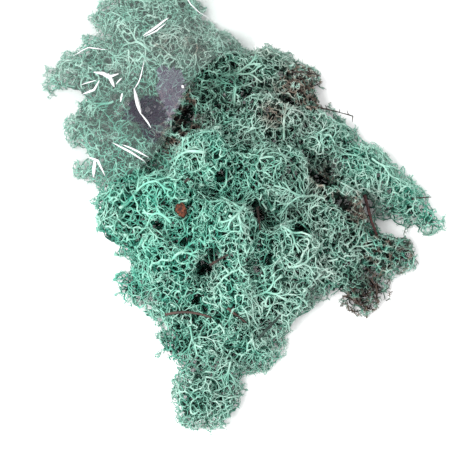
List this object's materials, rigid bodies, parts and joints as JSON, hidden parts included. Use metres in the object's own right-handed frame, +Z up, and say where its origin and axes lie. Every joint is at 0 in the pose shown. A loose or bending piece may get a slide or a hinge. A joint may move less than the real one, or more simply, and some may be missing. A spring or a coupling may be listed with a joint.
{
  "type": "heap of dyed preserved reindeer lichen spilling from a clear film bag",
  "caption": "Low heap of sea-green dyed reindeer lichen, its fine forked branches spilling from the mouth of a crumpled clear film bag, with twigs and bark from the forest floor caught in it.",
  "frame": {"origin": "under the middle of the whole heap, on the table it lies on", "axes": "+Z up from the table; the lichen spills out of the bag towards +X and -Y, and the bag's closed end is at -X and +Y"},
  "size_m": [0.1916, 0.2208, 0.0416],
  "materials": {
    "dyed_lichen": "matt, springy lichen branches dyed sea green, darker in the depth between them",
    "dusky_lichen": "matt lichen that took the dye badly, with brown dead bases",
    "clear_film": "thin clear packing film, crumpled, with sharp bright creases",
    "twig_bark": "dull brown bark of thin twigs and dry needles",
    "orange_bark": "dull orange-brown scale of pine bark"
  },
  "bodies": {
    "root": {"bag_film": "clear_film", "flake_bark": "orange_bark", "flake_small": "orange_bark", "needle_front": "twig_bark", "needle_middle": "twig_bark", "stem_dark": "twig_bark", "stem_red": "twig_bark", "stem_short": "twig_bark", "stem_upright": "twig_bark", "tuft_antler": "dyed_lichen", "tuft_arm": "dyed_lichen", "tuft_arm_root": "dyed_lichen", "tuft_arm_tip": "dyed_lichen", "tuft_bag_belly": "dyed_lichen", "tuft_bag_corner": "dyed_lichen", "tuft_bag_crown": "dyed_lichen", "tuft_bag_far_left": "dyed_lichen", "tuft_bag_front": "dyed_lichen", "tuft_bag_left": "dyed_lichen", "tuft_bag_middle": "dyed_lichen", "tuft_bag_pit": "dusky_lichen", "tuft_bag_shoulder": "dyed_lichen", "tuft_bag_top": "dyed_lichen", "tuft_crest": "dyed_lichen", "tuft_dusky_rim": "dusky_lichen", "tuft_fan": "dyed_lichen", "tuft_foot": "dyed_lichen", "tuft_front": "dyed_lichen", "tuft_front_left": "dyed_lichen", "tuft_front_right": "dyed_lichen", "tuft_hollow": "dyed_lichen", "tuft_left": "dyed_lichen", "tuft_left_lobe": "dyed_lichen", "tuft_lower_left": "dyed_lichen", "tuft_lower_right": "dyed_lichen", "tuft_middle": "dyed_lichen", "tuft_middle_left": "dyed_lichen", "tuft_middle_right": "dyed_lichen", "tuft_right": "dyed_lichen", "tuft_right_front": "dyed_lichen", "tuft_right_lobe": "dusky_lichen", "tuft_sprig": "dyed_lichen", "tuft_stray": "dusky_lichen", "tuft_teal_lump": "dyed_lichen", "tuft_upper": "dyed_lichen", "tuft_upper_right": "dyed_lichen", "tuft_waist": "dyed_lichen", "twig_arm": "twig_bark", "twig_forked": "twig_bark", "twig_long": "twig_bark"}
  },
  "joints": []
}
